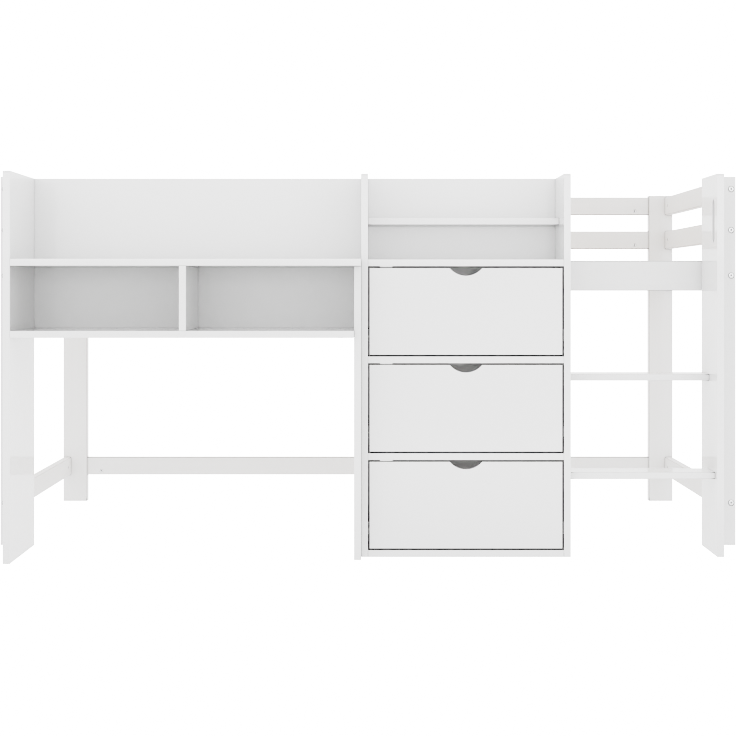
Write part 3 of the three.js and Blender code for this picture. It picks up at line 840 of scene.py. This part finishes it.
def make_post_bolts():
    for side, sign in ENDS.items():
        for row, outward, seat in (("front", FRONT, FRONT_BOLT_SEAT), ("rear", REAR, OTHER_BOLT_SEAT)):
            post = f"{row}_{side}_post"
            x = limits(post, "x")[sign > 0] - sign * BOLT_FROM_CORNER
            y = limits(post, "y")[row == "rear"] - outward.y * seat
            places = []
            for level in END_RAIL_LEVELS:
                z = middle(f"{side}_end_{level}", "z")
                places.append((Vector((x, y, z)), outward))
            edge_x = limits(post, "x")[sign > 0] - sign * OTHER_BOLT_SEAT
            for z in long_rail_bolt_levels(row):
                point = Vector((edge_x, middle(f"{row}_side_rail", "y"), z))
                places.append((point, Vector((sign, 0, 0))))
            fasteners(f"{post}_bolts", bolt_head, places)


def make_barrel_nuts():
    for side, sign in ENDS.items():
        places = []
        for level in END_RAIL_LEVELS:
            rail = f"{side}_end_{level}"
            inner = limits(rail, "x")[sign < 0]
            front, rear = limits(rail, "y")
            z = middle(rail, "z")
            for y in (front + NUT_FROM_POST, rear - NUT_FROM_POST):
                places.append((Vector((inner, y, z)), Vector((-sign, 0, 0))))
        fasteners(f"{side}_end_barrel_nuts", barrel_nut, places)
    for row, outward in (("front", REAR), ("rear", FRONT)):
        rails = {f"{row}_side_rail": long_rail_bolt_levels(row)[:2]}
        if row == "rear":
            rails.update({node: [light_rail_bolt_level(node)] for node in LIGHT_LONG_RAILS})
        places = []
        for rail, levels in rails.items():
            left, right = limits(rail, "x")
            y = limits(rail, "y")[row == "front"]
            for z in levels:
                for x in (left + NUT_FROM_POST, right - NUT_FROM_POST):
                    places.append((Vector((x, y, z)), outward))
        fasteners(f"{row}_rail_barrel_nuts", barrel_nut, places)


SCREW_SPACING = 125 * MM
RAIL_SCREW_SPACING = 230 * MM
LEDGER_SCREW_SPACING = 160 * MM
SCREW_FROM_END = 40 * MM
BOARD_HALF = 9 * MM             # half of a board's thickness
RAIL_SCREW_DROP = 17 * MM
RAIL_MARGIN = 8 * MM            # how far screws keep above and below the front side rail


def spread(start, stop, spacing=SCREW_SPACING, inset=SCREW_FROM_END):
    """Evenly spaced values from start to stop, inset at both ends."""
    first, last = start + inset, stop - inset
    count = max(2, round((last - first) / spacing) + 1)
    return [first + (last - first) * k / (count - 1) for k in range(count)]


def clear_of_side_rail(z):
    low, high = limits("front_side_rail", "z")
    return not low - RAIL_MARGIN < z < high + RAIL_MARGIN


def back_panel_screws(panel, columns, rows):
    """Screws through a back panel's rear face into the boards that it closes."""
    y = limits(panel, "y")[1]
    low, high = limits(panel, "z")
    places = []
    for x, bottom, top in columns:
        for z in spread(max(bottom, low), min(top, high)):
            if clear_of_side_rail(z):
                places.append((Vector((x, y, z)), REAR))
    for z, left, right in rows:
        for x in spread(left, right):
            if clear_of_side_rail(z):
                places.append((Vector((x, y, z)), REAR))
    fasteners(f"{panel}_screws", screw_head, places)


def make_panel_screws():
    desk_low, desk_high = limits("desk_back_panel", "z")
    divider = (middle("desk_cubby_divider", "x"), *limits("desk_cubby_divider", "z"))
    left_edge = limits("desk_left_side", "x")[1] - BOARD_HALF
    right_edge = middle("desk_right_upright", "x")
    back_panel_screws(
        "desk_back_panel",
        [(left_edge, desk_low, desk_high), (right_edge, desk_low, desk_high), divider],
        [(middle("desk_cubby_floor", "z"), *limits("desk_cubby_floor", "x"))])
    low, high = limits("cabinet_back_panel", "z")
    sides = [(middle(f"cabinet_{side}_side", "x"), low, high) for side in ENDS]
    boards = ("bottom_board", "lower_divider", "upper_divider", "top_board", "small_shelf")
    rows = [(middle(f"cabinet_{board}", "z"), *limits(f"cabinet_{board}", "x")) for board in boards]
    back_panel_screws("cabinet_back_panel", sides, rows)


def make_rail_screws():
    """Screws that hold the desk and the cabinet to the front side rail."""
    z = limits("front_side_rail", "z")[1] - RAIL_SCREW_DROP
    y = limits("front_side_rail", "y")[1]
    left = limits("desk_left_side", "x")[1]
    right = limits("cabinet_right_side", "x")[0]
    places = [(Vector((x, y, z)), REAR) for x in spread(left, right, RAIL_SCREW_SPACING)]
    fasteners("front_side_rail_screws", screw_head, places)


def make_ledger_screws():
    for row, outward in (("front", REAR), ("rear", FRONT)):
        ledger = f"{row}_slat_ledger"
        y = limits(ledger, "y")[row == "front"]
        z = middle(ledger, "z")
        columns = spread(*limits(ledger, "x"), LEDGER_SCREW_SPACING)
        places = [(Vector((x, y, z)), outward) for x in columns]
        fasteners(f"{ledger}_screws", screw_head, places)


CAM_FROM_END = 34 * MM
CAM_FROM_EDGE = 28 * MM
ENDS_ONLY = 2.0                 # a spacing that leaves one place at each end


def make_cover_caps():
    """Caps over the cams on the undersides of the steps and the cubby floor."""
    for board in ("upper_step", "lower_step", "desk_cubby_floor"):
        z = limits(board, "z")[0]
        places = []
        for x in spread(*limits(board, "x"), ENDS_ONLY, CAM_FROM_END):
            for y in spread(*limits(board, "y"), ENDS_ONLY, CAM_FROM_EDGE):
                places.append((Vector((x, y, z)), DOWN))
        piece = fasteners(f"{board}_cover_caps", cover_cap, places, material=CAP_PLASTIC)


# ---- angle brackets

BRACKET_LEG = 30 * MM
BRACKET_THICKNESS = 2.0 * MM
BRACKET_HEIGHT = 40 * MM
BRACKET_LEVELS = (0.20, 0.50, 0.80)     # shares of the board's height
BRACKET_BEND = 3.0 * MM
BRACKET_EDGE = 0.4 * MM
BRACKET_SCREW_REACH = 0.66 * BRACKET_LEG
BRACKET_SCREW_RISE = 10 * MM


def angle_outline(leg, thickness, bend):
    """An L with a rounded bend. The corner that meets both parts is at the origin."""
    outer = [(0, leg), (0, 0), (leg, 0), (leg, thickness)]
    inner = arc((thickness + bend, thickness + bend), bend, 270, 180, 5)
    return outer + inner + [(thickness, leg)]


def make_angle_brackets():
    """Steel angles that tie the two outer side boards to the fronts of the posts."""
    for board, side in (("desk_left_side", "left"), ("ladder_side_board", "right")):
        sign = ENDS[side]
        x = limits(board, "x")[sign > 0]
        low, high = limits(board, "z")
        levels = [low + (high - low) * share for share in BRACKET_LEVELS]
        across = Vector((sign, 0, 0))

        def build(bm):
            outline = angle_outline(BRACKET_LEG, BRACKET_THICKNESS, BRACKET_BEND)
            for z in levels:
                axes = axes_at((x, POST_FRONT_Y, z), across, FRONT, UP)
                prism(bm, outline, -BRACKET_HEIGHT / 2, BRACKET_HEIGHT / 2, axes)

        piece = new_piece(f"{side}_angle_brackets", FIXED, STEEL, build)
        round_edges(piece, BRACKET_EDGE, segments=2)
        shade(piece)
        places = []
        for level in levels:
            for z in (level - BRACKET_SCREW_RISE, level + BRACKET_SCREW_RISE):
                corner = Vector((x, POST_FRONT_Y, z))
                on_board = corner + across * BRACKET_THICKNESS + FRONT * BRACKET_SCREW_REACH
                on_post = corner + across * BRACKET_SCREW_REACH + FRONT * BRACKET_THICKNESS
                places += [(on_board, across), (on_post, FRONT)]
        fasteners(f"{side}_angle_bracket_screws", screw_head, places)


# ---- slats and webbing

SLAT_COUNT = 14
SLAT_WIDTH = 70 * MM
SLAT_THICKNESS = 18 * MM
SLAT_EDGE_RADIUS = 3 * MM
SLAT_EDGE = 0.8 * MM
STRAP_WIDTH = 25 * MM
STRAP_THICKNESS = 0.9 * MM
STRAP_SAG = 5 * MM
STRAP_STEPS = 10                # straight stretches between two slats
STRAP_EDGE = 0.25 * MM
STRAP_FROM_MIDDLE = 300 * MM
STAPLE_CROWN = 12 * MM
STAPLE_WIRE = 0.55 * MM
STAPLE_BEND = 0.25 * MM
STAPLE_FROM_MIDDLE = 15 * MM


def slat_centres(roll):
    left, right = limits(roll, "x")
    count = SLAT_COUNT // 2
    pitch = (right - left - SLAT_WIDTH) / (count - 1)
    return [left + SLAT_WIDTH / 2 + pitch * k for k in range(count)]


def make_slats(roll):
    low = limits(roll, "z")[0]
    front, rear = limits(roll, "y")
    half = SLAT_WIDTH / 2
    outline = rounded_rectangle(-half, half, 0, SLAT_THICKNESS, SLAT_EDGE_RADIUS)
    for k, x in enumerate(slat_centres(roll), start=1):
        place = axes_at((x, 0, low), LEFT, UP, REAR)
        slat = new_piece(f"{roll.removesuffix('_roll')}_{k}", FIXED, SLAT_WOOD,
                         lambda bm: prism(bm, outline, front, rear, place))
        ease_edges(slat, SLAT_EDGE)
        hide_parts(roll)


def strap_line(roll):
    """The strap's underside: flat on each slat, sagging a little between two."""
    top = limits(roll, "z")[0] + SLAT_THICKNESS
    half = SLAT_WIDTH / 2 - SLAT_EDGE_RADIUS
    points = []
    centres = slat_centres(roll)
    for x, following in zip(centres, centres[1:] + [None]):
        points += [(x - half, top), (x, top), (x + half, top)]
        if following is None:
            continue
        gap = following - x - 2 * half
        for k in range(1, STRAP_STEPS):
            share = k / STRAP_STEPS
            drop = STRAP_SAG * math.sin(math.pi * share) ** 1.5     # level where it leaves the slats
            points.append((x + half + gap * share, top - drop))
    return points


def make_strap(name, roll, y):
    line = strap_line(roll)

    def build(bm):
        sections = []
        for x, z in line:
            ring = []
            for across, rise in ((-1, 0), (-1, 1), (1, 1), (1, 0)):
                point = Vector((x, y + across * STRAP_WIDTH / 2, z + rise * STRAP_THICKNESS))
                ring.append(bm.verts.new(point))
            sections.append(ring)
        bm.faces.new(sections[0])
        bm.faces.new(sections[-1][::-1])
        for first, second in zip(sections, sections[1:]):
            for k in range(4):
                m = (k + 1) % 4
                bm.faces.new((first[k], first[m], second[m], second[k]))

    strap = new_piece(name, FIXED, WEBBING, build)
    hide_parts(roll)
    ease_edges(strap, STRAP_EDGE, segments=2)


def staple(bm, x, y, z):
    """A wire staple's crown, across the strap."""
    half = STAPLE_CROWN / 2
    outline = rounded_rectangle(-STAPLE_WIRE, STAPLE_WIRE, 0, STAPLE_WIRE, STAPLE_BEND, steps=2)
    prism(bm, outline, -half, half, axes_at((x, y, z), LEFT, UP, REAR))


def make_slat_rolls():
    for side in ENDS:
        roll = f"{side}_slat_roll"
        make_slats(roll)
        centre = middle(roll, "y")
        z = limits(roll, "z")[0] + SLAT_THICKNESS + STRAP_THICKNESS
        rows = {"front": centre - STRAP_FROM_MIDDLE, "rear": centre + STRAP_FROM_MIDDLE}
        for row, y in rows.items():
            make_strap(f"{side}_{row}_strap", roll, y)

        def build(bm):
            for x in slat_centres(roll):
                for y in rows.values():
                    for step in (-STAPLE_FROM_MIDDLE, STAPLE_FROM_MIDDLE):
                        staple(bm, x + step, y, z)

        new_piece(f"{side}_slat_staples", FIXED, ZINC, build)


# ---- drawer runners and fixings

STEEL_GAUGE = 1.1 * MM
CHANNEL_REACH = 9.0 * MM
CHANNEL_LIP = 4.0 * MM
ROLLER_WIDTH = 5.2 * MM
ROLLER_START = 2.4 * MM
ROLLER_RADIUS = 9.0 * MM
ROLLER_PLAY = 0.3 * MM          # between a roller and the flange under it
ROLLER_FROM_END = 11 * MM
INNER_GAP = 0.3 * MM            # between the drawer's own member and the drawer side
MEMBER_INSET = 6.0 * MM         # how far its flanges lie inside the channel's height
MEMBER_SETBACK = 2 * MM         # how much shorter it is than the channel, at each end
MEMBER_CLEARANCE = 0.8 * MM     # between its flanges and the channel's lips


def channel_outline(height):
    """A C open towards the drawer, with short lips. X is away from the cabinet side, Y is up."""
    g, reach, lip = STEEL_GAUGE, CHANNEL_REACH, CHANNEL_LIP
    return [(0, 0), (reach, 0), (reach, lip), (reach - g, lip), (reach - g, g), (g, g), (g, height - g),
            (reach - g, height - g), (reach - g, height - lip), (reach, height - lip), (reach, height),
            (0, height)]


def member_outline(inner, height):
    """The drawer's own member: a web along the drawer side and two flanges towards the C."""
    g = STEEL_GAUGE
    web = inner - g
    low, high = MEMBER_INSET, height - MEMBER_INSET
    tongue = CHANNEL_REACH + MEMBER_CLEARANCE
    return [(inner, low), (inner, high), (tongue, high), (tongue, high - g), (web, high - g),
            (web, low + g), (tongue, low + g), (tongue, low)]


def roller(bm, place):
    """A nylon wheel on its rivet. Z of the place is the axle, away from the cabinet side."""
    radius = ROLLER_RADIUS
    a, b = ROLLER_START, ROLLER_START + ROLLER_WIDTH
    rings = [
        (0, a - 1.2 * MM, circle),
        (2.6 * MM, a - 1.2 * MM, circle),
        (2.6 * MM, a, circle),
        (radius - 0.8 * MM, a, circle),
        (radius, a + 0.8 * MM, circle),
        (radius, b - 0.8 * MM, circle),
        (radius - 0.8 * MM, b, circle),
        (3.4 * MM, b, circle),
        (3.0 * MM, b + 0.5 * MM, circle),
        (0, b + 0.7 * MM, circle),
    ]
    turned(bm, rings, place, segments=28)


def runner_frame(node, sign):
    """X away from the cabinet side, Y up, Z forward or back, from the runner's wall and lower edge."""
    inward = Vector((-sign, 0, 0))
    along = inward.cross(UP)
    corner = (limits(node, "x")[sign > 0], 0, limits(node, "z")[0])
    return axes_at(corner, inward, UP, along), along.y


def make_runners():
    for drawer in DRAWERS:
        for side, sign in ENDS.items():
            node = f"{drawer}_{side}_runner"
            low, high = limits(node, "z")
            height = high - low
            front, rear = limits(node, "y")
            axes, along = runner_frame(node, sign)
            wall = limits(node, "x")[sign > 0]
            span = sorted((front * along, rear * along))
            channel = new_piece(f"{node}_channel", FIXED, STEEL,
                                lambda bm: prism(bm, channel_outline(height), *span, axes))
            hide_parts(node)
            inner = abs(limits(f"{drawer}_{side}_side", "x")[sign > 0] - wall) - INNER_GAP
            span = sorted(((front + MEMBER_SETBACK) * along, (rear - MEMBER_SETBACK) * along))
            new_piece(f"{drawer}_{side}_member", drawer, STEEL,
                      lambda bm: prism(bm, member_outline(inner, height), *span, axes))
            inward = Vector((-sign, 0, 0))
            wheel_z = low + STEEL_GAUGE + ROLLER_RADIUS + ROLLER_PLAY
            fixed = axes_at((wall, front + ROLLER_FROM_END, wheel_z), FRONT, UP, inward)
            shade(new_piece(f"{node}_front_roller", FIXED, NYLON, lambda bm: roller(bm, fixed)))
            moving = axes_at((wall, rear - ROLLER_FROM_END, wheel_z), FRONT, UP, inward)
            shade(new_piece(f"{drawer}_{side}_rear_roller", drawer, NYLON,
                            lambda bm: roller(bm, moving)))


STOP_START = 31 * MM            # from the drawer opening's left side
STOP_LENGTH = 33 * MM
STOP_HEIGHT = 2.5 * MM
STOP_DEPTH = 14 * MM
STOP_SETBACK = 1.5 * MM         # behind the drawer front's face
STOP_CORNER = 2 * MM
STOP_EDGE = 0.4 * MM
CAP_LEVELS = (0.25, 0.75)       # shares of the drawer side's height
BACK_SCREW_LEVELS = (0.1, 0.92)     # shares of the drawer back's height


def make_drawer_stops():
    """A small moulded stop under the board above each drawer, in the gap over its front."""
    for drawer, ceiling in CEILINGS.items():
        left = limits("cabinet_left_side", "x")[1] + STOP_START
        front = limits(f"{drawer}_front", "y")[0] + STOP_SETBACK
        place = Matrix.Translation((0, 0, limits(ceiling, "z")[0]))

        def build(bm):
            outline = rounded_rectangle(left, left + STOP_LENGTH, front, front + STOP_DEPTH,
                                        STOP_CORNER)
            prism(bm, outline, -STOP_HEIGHT, 0, place)

        stop = new_piece(f"{drawer}_stop", FIXED, CAP_PLASTIC, build)
        ease_edges(stop, STOP_EDGE, segments=2)


def column(board, sign, y, height_from, shares):
    """Places on the face of a board that looks along X, at shares of a part's height."""
    x = limits(board, "x")[sign > 0]
    low, high = limits(height_from, "z")
    return [(Vector((x, y, low + (high - low) * share)), Vector((sign, 0, 0))) for share in shares]


def make_drawer_fixings():
    """Cam covers inside each drawer, where its sides meet the front, and screws in the back."""
    for drawer in DRAWERS:
        back = f"{drawer}_back"
        places = []
        screws = []
        for side, sign in ENDS.items():
            board = f"{drawer}_{side}_side"
            places += column(board, -sign, limits(board, "y")[0] + CAM_FROM_END, board, CAP_LEVELS)
            screws += column(board, sign, middle(back, "y"), back, BACK_SCREW_LEVELS)
        caps = fasteners(f"{drawer}_cover_caps", cover_cap, places, body=drawer, material=CAP_PLASTIC)
        fasteners(f"{back}_screws", screw_head, screws, body=drawer)


make_camera()
make_world()
make_floor(studio_white())
make_softbox("front_softbox", SOFTBOX_PLACE, SOFTBOX_TARGET, SOFTBOX_SIZE, SOFTBOX_POWER)
make_drawer_fill()
finish_cad_nodes()
make_post_bolts()
make_barrel_nuts()
make_panel_screws()
make_rail_screws()
make_ledger_screws()
make_cover_caps()
make_angle_brackets()
make_slat_rolls()
make_runners()
make_drawer_fixings()
make_drawer_stops()
